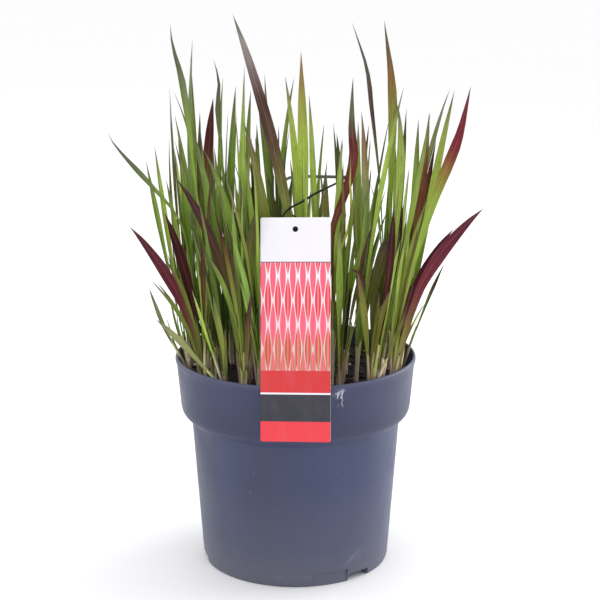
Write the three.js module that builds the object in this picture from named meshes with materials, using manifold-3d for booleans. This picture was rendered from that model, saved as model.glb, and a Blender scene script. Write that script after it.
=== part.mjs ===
// Japanese blood grass in its nursery pot, with a hang tag on a strap.
// Millimetres, +Z up. The origin is the middle of the pot's base, and -Y is the tag's side.
import * as THREE from "three";
import { mergeVertices } from "three/addons/utils/BufferGeometryUtils.js";
import Module from "manifold-3d";

// ---- Driving dimensions ----

// Clearance between pieces that touch, and between blades of different shoots.
const GAP = 0.3;

// The pot's outlines are [radius, z] points, from its foot ring up to its lip.
const POT = {
  outside: [
    [70.3, 0],
    [73.5, 0],
    [74.4, 3],
    [82.6, 116.5],
    [89, 122.3],
    [90.4, 125.2],
    [91, 128.4],
    [94, 162.5],
    [95, 164.4],
    [95, 166.8],
    [94.1, 168],
    [92.9, 168],
  ],
  inside: [
    [70.1, 7],
    [72.5, 13],
    [81.2, 117.6],
    [87.9, 123.7],
    [89.4, 128],
    [92.6, 164.5],
  ],
  floorZ: 7,
  undersideZ: 5.4,
  undersideRadius: 69.5,
  segments: 36,
};
// The heel's notches and the shallow panels beside them, by heading from the tag's side to +X.
const NOTCH = { count: 3, from: 33.5, to: 50, height: 6, radius: 64.5 };
const PANEL = { from: 10, to: 33, height: 10, radius: 73.1 };
const DRAIN = { count: 6, radius: 5, ring: 46 };

// The soil's surface: its level, its lower edge at the pot's wall, and its bumps.
const SOIL = { level: 154, edge: [91.2, 152], bumps: 0.9, rings: [70, 45, 20] };

const CROWN = { radius: 4, topRadius: 2.2, footShare: 0.8, sides: 6, depth: 15, height: 9 };
// A blade leaves its crown this much under the soil's level.
const ROOT_SINK = 1.5;

const BLADE = {
  baseShare: 0.27,
  opensFrom: 0.2,
  widestFrom: 0.64,
  widestTo: 0.66,
  // How a tip narrows: 1 is evenly, and more keeps it wide for longer.
  taper: 1.8,
  baseKeel: 1.4,
  tipKeel: 0.9,
};
// The shares of its length at which a blade has a section; its tip is one point.
const RINGS = {
  given: [0, 0.2, 0.42, 0.66, 0.89],
  winding: [0, 0.14, 0.28, 0.42, 0.53, 0.64, 0.76, 0.91],
  drawn: [0, 0.3, 0.63, 0.89],
  blunt: [0, 0.2, 0.42, 0.68, 0.965],
  stub: [0, 0.5, 0.94],
};
const STUB = { width: 2.3, keel: 1.7, height: [14, 30], spread: [1.5, 4], crownRadius: 3.4 };

const TAG = {
  width: 52,
  height: 165,
  thickness: 0.7,
  corner: 1,
  lean: 13.2,
  yaw: 8,
  footZ: 129.6,
  holeRadius: 1.8,
  holeFromTop: 8.6,
};
const BUTTON = { headRadius: 2.2, shankRadius: 1.5, headHeight: 0.7, backHeight: 1 };
const STRAP = { width: 2.3, thickness: 0.9, steps: 32 };

// ---- Colours ----

const COLOURS = {
  pot: 0x50556a,
  soil: 0x2e2219,
  tag: 0xf4f2f4,
  tag_loop: 0x161718,
  green_shoot: 0x6f9a33,
  red_shoot: 0x7a2230,
  dry_stubs: 0xc29a72,
};

// ---- Where the grass grows ----

// Each shoot has its place in the soil and its blades. A blade is given by points that it passes at
// even steps from its root to its tip, by its greatest width, by the heading that its flat side
// faces, in degrees from the tag's side towards +X, and by its own taper where it has one.
const SHOOTS = [
  { kind: "red_shoot", at: [72, -46], fill: 2, blades: [
    { path: [[85, -54, 238], [102, -56, 300], [119, -58, 347], [127, -60, 386]], width: 8, taper: 2.5 },
    { path: [[95, -54, 236], [138.5, -62, 296]], width: 10, face: 10 },
    { path: [[88, -50, 226], [118, -52, 279]], width: 7, face: 10 },
  ] },
  { kind: "red_shoot", at: [33, -55], fill: 2, blades: [
    {
      path: [[30, -52, 215], [27, -49, 272], [42.5, -48, 325], [41, -48, 358], [42, -48, 391]],
      width: 7,
      taper: 1.2,
    },
    { path: [[47, -57, 240], [57, -55, 283]], width: 3.2, face: -25 },
    { path: [[44, -59, 205], [50.5, -60, 238], [48, -60, 246], [40.5, -60, 250]], width: 2.8 },
  ] },
  { kind: "green_shoot", at: [8, -56], fill: 3, blades: [
    { path: [[-7.5, -56, 300], [-45, -66, 438]], width: 8.5, taper: 2.5 },
  ] },
  { kind: "green_shoot", at: [9, -42], fill: 2, blades: [
    { path: [[6, -45, 300], [4, -42, 410]], width: 8, taper: 1.7 },
  ] },
  { kind: "green_shoot", at: [74, 0], fill: 2, blades: [
    { path: [[73, -9, 293], [73, -11, 375], [66, -12, 430]], width: 7, taper: 2.5 },
    { path: [[66, 4, 291], [58, 4, 360], [54, 4, 392], [42, 5, 428]], width: 4, face: 20, taper: 1.2 },
  ] },
  { kind: "green_shoot", at: [-62, -38], fill: 4, blades: [
    { path: [[-74, -43, 300], [-83, -45, 387], [-90, -46, 415], [-91, -46, 429]], width: 6.5, taper: 1.3 },
    { path: [[-77, -37, 285], [-76, -31, 418]], width: 5.5, face: 30, taper: 1.2 },
  ] },
  { kind: "green_shoot", at: [-74, -26], fill: 4, blades: [
    { path: [[-86, -30, 275], [-116, -33, 316], [-136, -34, 340], [-140, -34, 348]], width: 5, face: -15 },
    { path: [[-81, -24, 262], [-89, -18, 342]], width: 6, face: 35 },
  ] },
  { kind: "red_shoot", at: [-69, -50], fill: 3, blades: [
    { path: [[-87, -55, 225], [-123, -60, 282]], width: 8.5, face: -10 },
    { path: [[-80, -48, 230], [-98, -47, 290]], width: 8, face: 15 },
  ] },
  { kind: "green_shoot", at: [62, -41], fill: 2, blades: [
    { path: [[77, -45, 300], [74, -41, 373]], width: 6.5 },
    { path: [[84, -49, 275], [99, -50, 365]], width: 4 },
  ] },
  { kind: "green_shoot", at: [78, -36], fill: 2, blades: [
    { path: [[97, -38, 275], [118, -33, 380]], width: 6 },
  ] },
  { kind: "red_shoot", at: [76, -23], fill: 2, blades: [
    { path: [[91, -27, 262], [100, -28, 363]], width: 7 },
    { path: [[96, -32, 226], [121, -42, 276]], width: 6, face: 20 },
  ] },
  { kind: "green_shoot", at: [82, -7], fill: 2, blades: [
    { path: [[90, -2, 265], [94, 0, 354]], width: 5.5 },
    { path: [[101, -14, 210], [115, -18, 245]], width: 2.8 },
  ] },
  { kind: "red_shoot", at: [80, 8], fill: 1, blades: [
    { path: [[96, 3, 262], [108, 0, 339]], width: 4.5 },
  ] },
  { kind: "green_shoot", at: [76, 24], fill: 2, blades: [
    { path: [[96, 19, 286], [119, 12, 376]], width: 4 },
    { path: [[82, 24, 270], [86, 20, 360]], width: 4 },
  ] },
  { kind: "red_shoot", at: [56, -64], fill: 2, blades: [
    { path: [[68, -66, 236], [72, -64, 299]], width: 6 },
    { path: [[77, -70, 205], [87, -70, 241]], width: 4.2, shape: "blunt", face: -15 },
  ] },
  { kind: "red_shoot", at: [60, -22], fill: 2, blades: [
    { path: [[74, -22, 232], [82, -22, 292]], width: 5.5 },
    { path: [[60, -36, 226], [70, -42, 267]], width: 8, face: 55, twist: -70, shape: "blunt" },
  ] },
  { kind: "green_shoot", at: [46, -32], fill: 2, blades: [
    { path: [[53, -31, 268], [49, -30, 364]], width: 6 },
    { path: [[60, -39, 280], [80, -38, 383]], width: 4 },
  ] },
  { kind: "green_shoot", at: [38, -19], fill: 2, blades: [
    { path: [[36, -20, 262], [31, -20, 346]], width: 6.5 },
  ] },
  { kind: "green_shoot", at: [27, -38], fill: 2, blades: [
    { path: [[24, -36, 240], [23, -35, 320]], width: 6 },
  ] },
  { kind: "green_shoot", at: [19, -24], fill: 2, blades: [
    { path: [[15, -22, 275], [10, -22, 376]], width: 5 },
  ] },
  { kind: "green_shoot", at: [1, -14], fill: 5, blades: [
    { path: [[3, -11, 275], [-8, -10, 388]], width: 6 },
  ] },
  { kind: "green_shoot", at: [-12, 2], fill: 5, blades: [
    { path: [[-19, 4, 280], [-31, 0, 395]], width: 5 },
    { path: [[-14, 8, 275], [-1, 8, 385]], width: 5, face: 25 },
  ] },
  { kind: "green_shoot", at: [-35, -26], fill: 5, blades: [
    { path: [[-40, -25, 275], [-38, -25, 397]], width: 6, taper: 1 },
  ] },
  { kind: "green_shoot", at: [-36, -4], fill: 5, blades: [
    { path: [[-39, -2, 268], [-34, -2, 377]], width: 5.5, face: 15 },
  ] },
  { kind: "green_shoot", at: [-15, -52], fill: 3, blades: [
    { path: [[-19, -54, 262], [-38, -58, 360]], width: 7.5 },
  ] },
  { kind: "green_shoot", at: [-26, -67], fill: 4, blades: [
    { path: [[-35, -69, 232], [-28, -69, 299]], width: 8.5, face: 15 },
  ] },
  { kind: "red_shoot", at: [-38, -71], fill: 3, blades: [
    { path: [[-54, -71, 252], [-88, -65, 319]], width: 7.5 },
  ] },
  { kind: "green_shoot", at: [-40, -55], fill: 4, blades: [
    { path: [[-42, -56, 255], [-68, -53, 339]], width: 6 },
    { path: [[-56, -62, 262], [-75, -60, 355]], width: 6.5, face: -20 },
  ] },
  { kind: "green_shoot", at: [-52, -65], fill: 3, blades: [
    { path: [[-78, -68, 186], [-104, -66, 213]], width: 5.5, face: -15 },
    { path: [[-66, -69, 199], [-77, -73, 238]], width: 2.4 },
  ] },
  { kind: "green_shoot", at: [-54, -25], fill: 5, blades: [
    { path: [[-55, -29, 322], [-58, -28, 366], [-57, -28, 386], [-61, -28, 402]], width: 5.5, taper: 1.2 },
  ] },
  { kind: "red_shoot", at: [-62, -12], fill: 3, blades: [
    { path: [[-69, -17, 262], [-62, -15, 372]], width: 9.5, taper: 2.5 },
  ] },
  { kind: "green_shoot", at: [-68, 3], fill: 4, blades: [
    { path: [[-76, 5, 280], [-80, 5, 400]], width: 4.5 },
    { path: [[-73, -4, 255], [-73, -5, 359]], width: 5.5, face: 20 },
  ] },
  { kind: "green_shoot", at: [-82, -9], fill: 3, blades: [
    { path: [[-96, -12, 250], [-108, -5, 334]], width: 4.5, face: -20 },
    { path: [[-102, -18, 262], [-113, -25, 326]], width: 4, taper: 1 },
    { path: [[-101, -12, 189], [-114, -12, 224]], width: 3.4 },
  ] },
  { kind: "red_shoot", at: [-82, 18], fill: 3, blades: [
    { path: [[-93, 22, 275], [-98, 26, 376]], width: 2.4, taper: 1 },
    { path: [[-95, 15, 252], [-98, 15, 339]], width: 2.4, taper: 1 },
  ] },
  { kind: "green_shoot", at: [-63, 34], fill: 4, blades: [
    { path: [[-72, 42, 280], [-97, 45, 371]], width: 2.8, taper: 1 },
    { path: [[-79, 35, 262], [-95, 33, 353]], width: 3.8 },
  ] },
  { kind: "green_shoot", at: [-50, 14], fill: 5, blades: [
    { path: [[-51, 11, 272], [-46, 10, 378]], width: 6 },
    { path: [[-59, 18, 280], [-56, 20, 384]], width: 3.2 },
  ] },
  { kind: "green_shoot", at: [-24, 15], fill: 5, blades: [
    { path: [[-28, 14, 262], [-30, 12, 349]], width: 5.5 },
    { path: [[-31, 24, 255], [-35, 25, 339]], width: 3.4 },
  ] },
  { kind: "green_shoot", at: [-8, 27], fill: 5, blades: [
    { path: [[-18, 27, 275], [-24, 25, 386]], width: 4.2 },
  ] },
  { kind: "green_shoot", at: [36, 13], fill: 2, blades: [
    { path: [[35, 14, 260], [29, 15, 349]], width: 3.4 },
  ] },
];

// The back of the clump and its middle. Behind this distance from the middle, blades face the back.
const BEHIND = 30;
const BACK_SHOOTS = [
  { kind: "green_shoot", at: [-68, 48], fill: 5 },
  { kind: "red_shoot", at: [-46, 70], fill: 5 },
  { kind: "green_shoot", at: [-40, 46], fill: 5 },
  { kind: "green_shoot", at: [-22, 78], fill: 5 },
  { kind: "green_shoot", at: [-14, 52], fill: 5 },
  { kind: "red_shoot", at: [6, 72], fill: 5 },
  { kind: "green_shoot", at: [12, 40], fill: 5 },
  { kind: "green_shoot", at: [30, 62], fill: 5 },
  { kind: "red_shoot", at: [50, 40], fill: 5 },
  { kind: "green_shoot", at: [52, 66], fill: 5 },
  { kind: "green_shoot", at: [72, 42], fill: 5 },
];

const STUB_TUFTS = [
  { at: [64, -57], count: 3 },
  { at: [-83, -22], count: 3 },
  { at: [-36, -37], count: 3 },
  { at: [37, -33], count: 3 },
  { at: [-58, 60], count: 3 },
];

// Drawn blades of the filling: how far and how high they reach from their crown.
const FILL = {
  reach: [8, 34],
  rise: [100, 205],
  width: [3.2, 6],
  turn: 75,
  face: 70,
  // The back shoots lean away from the middle by this share of their distance from it.
  backTilt: 0.16,
  rearmost: 110,
};
const TRIES = 60;
const FIRST_SEED = { shoot: 1000, stubs: 5000 };
// A given blade that meets another is moved by up to this much at each stop of its path.
const NUDGE = { side: 2.5, depth: 9 };

// The strap goes from the tag's back in front of the middle shoots, round them and back behind
// them. Each stop is a point and the strap's lay: 0 flat, 90 on its edge.
const STRAP_ROUTE = [
  [-10, -63.8, 283.5, 60],
  [-10, -62.2, 289, 20],
  [-4.5, -60.5, 295.5, 0],
  [4, -56.5, 299.5, 0],
  [15, -47, 304.5, 0],
  [30, -34, 309.5, 10],
  [37.5, -25, 312, 40],
  [43, -12, 311, 80],
  [38, -2, 309, 90],
  [20, -0.5, 309, 90],
  [0, -1, 309, 90],
  [-7, -6, 308, 85],
  [-9, -18, 304, 75],
  [-8, -33, 297, 60],
  [-3, -48, 289, 40],
  [5, -57, 285, 20],
  [4, -63, 283.5, 20],
];

// ---- Tools of this file ----

const wasm = await Module();
wasm.setup();

const UP = new THREE.Vector3(0, 0, 1);
const radians = THREE.MathUtils.degToRad;
const lerp = THREE.MathUtils.lerp;

// The solid of a closed geometry.
function solidOf(geometry) {
  const bare = geometry.clone();
  bare.deleteAttribute("normal");
  bare.deleteAttribute("uv");
  const merged = mergeVertices(bare, 1e-4);
  return new wasm.Manifold(
    new wasm.Mesh({
      numProp: 3,
      vertProperties: merged.attributes.position.array,
      triVerts: new Uint32Array(merged.index.array),
    }),
  );
}

// The geometry of a solid.
function geometryOf(solid) {
  const mesh = solid.getMesh();
  const geometry = new THREE.BufferGeometry();
  geometry.setAttribute("position", new THREE.BufferAttribute(mesh.vertProperties, mesh.numProp));
  geometry.setIndex(new THREE.BufferAttribute(mesh.triVerts, 1));
  geometry.computeVertexNormals();
  return geometry;
}

// A solid turned round the Z axis from an outline of [radius, z] points.
function turned(outline, segments) {
  const points = outline.map(([radius, z]) => new THREE.Vector2(radius, z));
  return solidOf(new THREE.LatheGeometry(points, segments).rotateX(Math.PI / 2));
}

// A random draw between 0 and 1 that gives the same series for the same seed.
function seededRandom(seed) {
  let state = seed >>> 0;
  return () => {
    state = (state + 0x6d2b79f5) >>> 0;
    let mixed = Math.imul(state ^ (state >>> 15), state | 1);
    mixed ^= mixed + Math.imul(mixed ^ (mixed >>> 7), mixed | 61);
    return ((mixed ^ (mixed >>> 14)) >>> 0) / 2 ** 32;
  };
}

function meet(a, b) {
  const boxA = a.boundingBox();
  const boxB = b.boundingBox();
  const apart = [0, 1, 2].some((k) => boxA.max[k] < boxB.min[k] || boxB.max[k] < boxA.min[k]);
  if (apart) return false;
  const common = a.intersect(b);
  const found = !common.isEmpty();
  common.delete();
  return found;
}

// ---- Pot ----

// An arc-shaped block round the pot's heel, from `radius` outwards.
function heelBlock({ from, to, height, radius }, turn) {
  const start = radians(from + turn - 90);
  const end = radians(to + turn - 90);
  const shape = new THREE.Shape();
  shape.absarc(0, 0, 2 * radius, start, end, false);
  shape.absarc(0, 0, radius, end, start, true);
  const block = new THREE.ExtrudeGeometry(shape, {
    depth: 2 * height,
    bevelEnabled: false,
    curveSegments: 5,
  });
  return solidOf(block.translate(0, 0, -height));
}

function drainHole(turn) {
  const hole = new THREE.CylinderGeometry(DRAIN.radius, DRAIN.radius, POT.floorZ, 10);
  hole.rotateX(Math.PI / 2);
  hole.translate(DRAIN.ring * Math.cos(turn), DRAIN.ring * Math.sin(turn), POT.floorZ);
  return solidOf(hole);
}

function pot() {
  const underside = [[0, POT.undersideZ], [POT.undersideRadius, POT.undersideZ]];
  const inside = [...POT.inside].reverse();
  const outline = [...underside, ...POT.outside, ...inside, [0, POT.floorZ]];
  let solid = turned(outline, POT.segments);
  for (let i = 0; i < NOTCH.count; i += 1) {
    const turn = (360 / NOTCH.count) * i;
    solid = solid.subtract(heelBlock(NOTCH, turn)).subtract(heelBlock(PANEL, turn));
  }
  for (let i = 0; i < DRAIN.count; i += 1) {
    solid = solid.subtract(drainHole((2 * Math.PI * i) / DRAIN.count));
  }
  return solid;
}

// ---- Soil ----

// How far the crumbly surface stands above the soil's level.
function soilBump(x, y) {
  const broad = Math.sin(x / 9 + 1.3) * Math.cos(y / 11 - 0.4);
  const small = Math.sin((x + 2 * y) / 6.1) * Math.cos((2 * x - y) / 7.3);
  return SOIL.bumps * (0.6 * broad + 0.5 * small);
}

// The fill: it follows the pot's inside at the gap's distance, and its top is bumpy.
function soil(crowns) {
  const [foot, ...wall] = POT.inside.slice(0, -1);
  const outline = [
    [0, foot[1] + GAP],
    [foot[0] - GAP, foot[1] + GAP],
    ...wall.map(([radius, z]) => [radius - GAP, z + GAP]),
    SOIL.edge,
    ...SOIL.rings.map((radius) => [radius, SOIL.level]),
    [0, SOIL.level],
  ];
  const points = outline.map(([radius, z]) => new THREE.Vector2(radius, z));
  const geometry = new THREE.LatheGeometry(points, POT.segments).rotateX(Math.PI / 2);
  const position = geometry.getAttribute("position");
  for (let i = 0; i < position.count; i += 1) {
    if (Math.abs(position.getZ(i) - SOIL.level) < GAP) {
      position.setZ(i, SOIL.level + soilBump(position.getX(i), position.getY(i)));
    }
  }
  const holes = crowns.map(({ at, radius }) => crownHole(at, radius));
  return holes.reduce((solid, hole) => solid.subtract(hole), solidOf(geometry));
}

// ---- Shoots ----

// The base of a shoot, which stands in the soil and narrows above it.
function crownSolid([x, y], radius) {
  const foot = SOIL.level - CROWN.depth;
  const top = SOIL.level + CROWN.height;
  const outline = [
    [0, foot],
    [radius * CROWN.footShare, foot],
    [radius, SOIL.level + SOIL.bumps],
    [CROWN.topRadius, top],
    [0, top],
  ];
  return turned(outline, CROWN.sides).translate([x, y, 0]);
}

// The plain hole that takes a shoot's base.
function crownHole([x, y], radius) {
  const foot = SOIL.level - CROWN.depth - GAP;
  const top = SOIL.level + CROWN.height;
  const outline = [[0, foot], [radius + GAP, foot], [radius + GAP, top], [0, top]];
  return turned(outline, CROWN.sides).translate([x, y, 0]);
}

// A blade's path: one arch through its middle, or a winding line through more stops.
function pathThrough(stops) {
  if (stops.length > 3) return new THREE.CatmullRomCurve3(stops, false, "centripetal");
  const [root, middle, tip] = stops;
  const control = middle.clone().multiplyScalar(2).addScaledVector(root, -0.5).addScaledVector(tip, -0.5);
  return new THREE.QuadraticBezierCurve3(root, control, tip);
}

// A blade's width at share t, as a share of its greatest width.
function widthShare(t, { blunt, taper }) {
  const { baseShare, opensFrom, widestFrom, widestTo } = BLADE;
  const opened = THREE.MathUtils.smoothstep(t, opensFrom, widestFrom);
  const opening = lerp(baseShare, 1, opened);
  const closing = blunt ? 1 : 1 - Math.max(0, (t - widestTo) / (1 - widestTo)) ** taper;
  return opening * closing;
}

// A blade from ring `first` on: three-sided, with a flat side and a keel behind it, and one point
// at its tip. The allowance makes it stouter all round.
function bladeSolid(blade, first = 0, allowance = 0) {
  const rings = blade.rings.slice(first);
  const positions = [];
  for (const t of rings) {
    const point = blade.path.getPoint(t);
    const tangent = blade.path.getTangent(t);
    const heading = radians(blade.face + blade.twist * t);
    const facing = new THREE.Vector3(Math.sin(heading), -Math.cos(heading), 0);
    const across = new THREE.Vector3().crossVectors(tangent, facing).normalize();
    const out = new THREE.Vector3().crossVectors(across, tangent);
    const half = (blade.width * widthShare(t, blade)) / 2 + allowance;
    const keel = lerp(blade.keel[0], blade.keel[1], t);
    const front = point.clone().addScaledVector(out, keel / 3 + allowance / 2);
    const edgeA = front.clone().addScaledVector(across, half);
    const edgeB = front.clone().addScaledVector(across, -half);
    const back = point.clone().addScaledVector(out, (-2 * keel) / 3 - allowance);
    positions.push(...edgeA, ...edgeB, ...back);
  }
  positions.push(...blade.path.getPoint(1));
  const apex = rings.length * 3;
  const faces = [0, 1, 2];
  for (let i = 0; i < rings.length - 1; i += 1) {
    for (let k = 0; k < 3; k += 1) {
      const a = 3 * i + k;
      const b = 3 * i + ((k + 1) % 3);
      faces.push(a, b + 3, b, a, a + 3, b + 3);
    }
  }
  for (let k = 0; k < 3; k += 1) {
    faces.push(apex - 3 + k, apex, apex - 3 + ((k + 1) % 3));
  }
  const geometry = new THREE.BufferGeometry();
  geometry.setAttribute("position", new THREE.Float32BufferAttribute(positions, 3));
  geometry.setIndex(faces);
  return solidOf(geometry);
}

// A blade with its root inside the crown and everything that its solid needs.
function rooted(at, given) {
  const root = [at[0], at[1], SOIL.level - ROOT_SINK];
  const stops = [root, ...given.path].map((stop) => new THREE.Vector3(...stop));
  const shape = given.shape ?? (stops.length > 3 ? "winding" : "given");
  return {
    path: pathThrough(stops),
    width: given.width,
    face: given.face ?? 0,
    twist: given.twist ?? 0,
    blunt: shape === "blunt" || shape === "stub",
    taper: given.taper ?? BLADE.taper,
    keel: given.keel ?? [BLADE.baseKeel, BLADE.tipKeel],
    rings: RINGS[shape],
  };
}

// A given blade moved a little, mostly in depth, to clear its neighbours.
function nudged(given, share, random) {
  const shift = (amount) => amount * share * (2 * random() - 1);
  const path = given.path.map(([x, y, z]) => [
    x + shift(NUDGE.side),
    y + shift(NUDGE.depth),
    z,
  ]);
  return { ...given, path };
}

// A drawn blade, which leans outwards from the middle of the clump. Behind the middle its flat side
// is turned to the back.
function drawn([x, y], random) {
  const outwards = Math.atan2(y, x) + radians(FILL.turn) * (2 * random() - 1);
  const reach = lerp(...FILL.reach, random() ** 1.6);
  const rise = lerp(...FILL.rise, random()) - reach;
  const bow = lerp(0.28, 0.42, random());
  const room = (FILL.rearmost - y) * lerp(0.6, 1, random());
  const leanX = Math.cos(outwards) * reach;
  const leanY = Math.min(Math.sin(outwards) * reach + FILL.backTilt * Math.max(y, 0), room);
  const isBehind = y > BEHIND;
  return {
    path: [
      [x + leanX * bow, y + leanY * bow, SOIL.level + rise / 2],
      [x + leanX, y + leanY, SOIL.level + rise],
    ],
    width: lerp(...FILL.width, random()),
    face: FILL.face * (2 * random() - 1) + (isBehind ? 180 : 0),
    shape: "drawn",
  };
}

// A tuft of cut stems on one crown, evenly round it and leaning a little outwards.
function tuftSolid({ at: [x, y], count }, random) {
  let solid = crownSolid([x, y], STUB.crownRadius);
  for (let i = 0; i < count; i += 1) {
    const turn = (2 * Math.PI * (i + random())) / count;
    const height = lerp(...STUB.height, random());
    const spread = lerp(...STUB.spread, random());
    const top = [x + spread * Math.cos(turn), y + spread * Math.sin(turn), SOIL.level + height];
    const middle = [lerp(x, top[0], 0.5), lerp(y, top[1], 0.5), SOIL.level + height / 2];
    const keel = [STUB.keel, STUB.keel];
    const stub = rooted([x, y], { path: [middle, top], width: STUB.width, keel, shape: "stub" });
    solid = solid.add(bladeSolid(stub));
  }
  return solid;
}

// ---- Tag and its strap ----

// The tag's own directions: its height leans back, and its right side stands a little to the front.
const tagTurn = new THREE.Matrix4()
  .makeRotationX(radians(90 - TAG.lean))
  .multiply(new THREE.Matrix4().makeRotationY(radians(-TAG.yaw)));
const tagUp = new THREE.Vector3(0, 1, 0).transformDirection(tagTurn);
const tagOut = new THREE.Vector3(0, 0, 1).transformDirection(tagTurn);

// The tag's back lies against the rim's outer edge, so its foot stands off the collar.
const RIM_EDGE = 9;
function tagFoot() {
  const [rimRadius, rimZ] = POT.outside[RIM_EDGE];
  const rim = new THREE.Vector3(0, -rimRadius / Math.cos(radians(TAG.yaw)), rimZ);
  const back = rim.addScaledVector(tagOut, GAP);
  return back.addScaledVector(tagUp, (TAG.footZ - back.z) / tagUp.z);
}

// A solid made in the tag's plane, with its Z standing out of the tag's back, put in its place.
function onTag(geometry) {
  const foot = tagFoot();
  return solidOf(geometry.applyMatrix4(tagTurn).translate(foot.x, foot.y, foot.z));
}

function disc(radius, from, to) {
  const geometry = new THREE.CylinderGeometry(radius, radius, to - from, 12);
  geometry.rotateX(Math.PI / 2);
  return geometry.translate(0, TAG.height - TAG.holeFromTop, (from + to) / 2);
}

function tag() {
  const { width, height, corner, thickness } = TAG;
  const half = width / 2;
  const shape = new THREE.Shape();
  shape.absarc(half - corner, corner, corner, -Math.PI / 2, 0, false);
  shape.absarc(half - corner, height - corner, corner, 0, Math.PI / 2, false);
  shape.absarc(corner - half, height - corner, corner, Math.PI / 2, Math.PI, false);
  shape.absarc(corner - half, corner, corner, Math.PI, 1.5 * Math.PI, false);
  const sheet = new THREE.ExtrudeGeometry(shape, {
    depth: thickness,
    bevelEnabled: false,
    curveSegments: 2,
  });
  const hole = disc(TAG.holeRadius, -1, thickness + 1);
  return onTag(sheet).subtract(onTag(hole));
}

function strapSolid() {
  const stops = STRAP_ROUTE.map(([x, y, z]) => new THREE.Vector3(x, y, z));
  const button = tagFoot()
    .addScaledVector(tagUp, TAG.height - TAG.holeFromTop)
    .addScaledVector(tagOut, -GAP - BUTTON.backHeight / 2);
  stops.unshift(button);
  stops.push(button);
  const lays = [90, ...STRAP_ROUTE.map((stop) => stop[3]), 45];
  const curve = new THREE.CatmullRomCurve3(stops, false, "centripetal");
  const positions = [];
  for (let i = 0; i <= STRAP.steps; i += 1) {
    const t = i / STRAP.steps;
    const place = t * (lays.length - 1);
    const before = Math.min(Math.floor(place), lays.length - 2);
    const lay = radians(lerp(lays[before], lays[before + 1], place - before));
    const point = curve.getPoint(t);
    const tangent = curve.getTangent(t);
    const side = new THREE.Vector3().crossVectors(tangent, UP).normalize();
    const above = new THREE.Vector3().crossVectors(side, tangent);
    const wide = side.clone().multiplyScalar(Math.cos(lay)).addScaledVector(above, Math.sin(lay));
    const thin = above.clone().multiplyScalar(Math.cos(lay)).addScaledVector(side, -Math.sin(lay));
    for (const [u, v] of [[1, 1], [-1, 1], [-1, -1], [1, -1]]) {
      const corner = point.clone().addScaledVector(wide, (u * STRAP.width) / 2);
      positions.push(...corner.addScaledVector(thin, (v * STRAP.thickness) / 2));
    }
  }
  const end = STRAP.steps * 4;
  const faces = [0, 1, 2, 0, 2, 3, end, end + 2, end + 1, end, end + 3, end + 2];
  for (let i = 0; i < STRAP.steps; i += 1) {
    for (let k = 0; k < 4; k += 1) {
      const a = 4 * i + k;
      const b = 4 * i + ((k + 1) % 4);
      faces.push(a, a + 4, b + 4, a, b + 4, b);
    }
  }
  const geometry = new THREE.BufferGeometry();
  geometry.setAttribute("position", new THREE.Float32BufferAttribute(positions, 3));
  geometry.setIndex(faces);
  return solidOf(geometry);
}

function tagLoop() {
  const front = TAG.thickness + GAP;
  const back = -GAP - BUTTON.backHeight;
  return onTag(disc(BUTTON.headRadius + 0.8, back, -GAP))
    .add(onTag(disc(BUTTON.shankRadius, back + 0.2, front + 0.2)))
    .add(onTag(disc(BUTTON.headRadius, front, front + BUTTON.headHeight)))
    .add(strapSolid());
}

// ---- Assembly ----

const part = new THREE.Group();

function addNode(name, kind, solid) {
  const material = new THREE.MeshStandardMaterial({ color: COLOURS[kind], roughness: 0.6 });
  const mesh = new THREE.Mesh(geometryOf(solid), material);
  mesh.name = name;
  part.add(mesh);
}

// A shoot's `solids` are its whole blades, and its `free` ones start beyond the crown.
const shoots = [...SHOOTS, ...BACK_SHOOTS].map((shoot, index) => ({
  ...shoot,
  radius: CROWN.radius,
  given: shoot.blades ?? [],
  random: seededRandom(FIRST_SEED.shoot + index),
  crown: crownSolid(shoot.at, CROWN.radius),
  solids: [],
  free: [],
}));
const tufts = STUB_TUFTS.map((tuft, index) => ({
  ...tuft,
  radius: STUB.crownRadius,
  solid: tuftSolid(tuft, seededRandom(FIRST_SEED.stubs + index)),
}));
const fixed = { pot: pot(), tag: tag(), tag_loop: tagLoop() };

// A blade is clear when, with the gap round it, it meets no fixed piece and no other shoot, and when
// beyond its crown it meets none of its own shoot's blades.
function isClear(shoot, blade) {
  const stout = bladeSolid(blade, 0, GAP);
  const free = bladeSolid(blade, 1, GAP);
  const others = shoots.filter((other) => other !== shoot);
  return (
    !Object.values(fixed).some((solid) => meet(stout, solid)) &&
    !tufts.some((tuft) => meet(stout, tuft.solid)) &&
    !others.some((other) => [other.crown, ...other.solids].some((solid) => meet(stout, solid))) &&
    !shoot.free.some((solid) => meet(free, solid))
  );
}

// Adds the first blade that is clear, out of those made for share 0 to 1 of the tries.
function grow(shoot, make) {
  for (let attempt = 0; attempt < TRIES; attempt += 1) {
    const blade = rooted(shoot.at, make(attempt / TRIES));
    if (isClear(shoot, blade)) {
      shoot.solids.push(bladeSolid(blade));
      shoot.free.push(bladeSolid(blade, 1));
      return;
    }
  }
}

for (const shoot of shoots) {
  for (const given of shoot.given) {
    grow(shoot, (share) => nudged(given, share, shoot.random));
  }
}
for (const shoot of shoots) {
  for (let i = 0; i < shoot.fill; i += 1) {
    grow(shoot, () => drawn(shoot.at, shoot.random));
  }
}

addNode("pot", "pot", fixed.pot);
addNode("soil", "soil", soil([...shoots, ...tufts]));
addNode("tag", "tag", fixed.tag);
addNode("tag_loop", "tag_loop", fixed.tag_loop);

const counts = {};
for (const shoot of shoots) {
  counts[shoot.kind] = (counts[shoot.kind] ?? 0) + 1;
  const number = String(counts[shoot.kind]).padStart(2, "0");
  const solid = shoot.solids.reduce((all, one) => all.add(one), shoot.crown);
  addNode(`${shoot.kind}_${number}`, shoot.kind, solid);
}

tufts.forEach((tuft, index) => {
  addNode(`dry_stubs_${String(index + 1).padStart(2, "0")}`, "dry_stubs", tuft.solid);
});

export default part;
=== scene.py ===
import itertools
import math
import random

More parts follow.
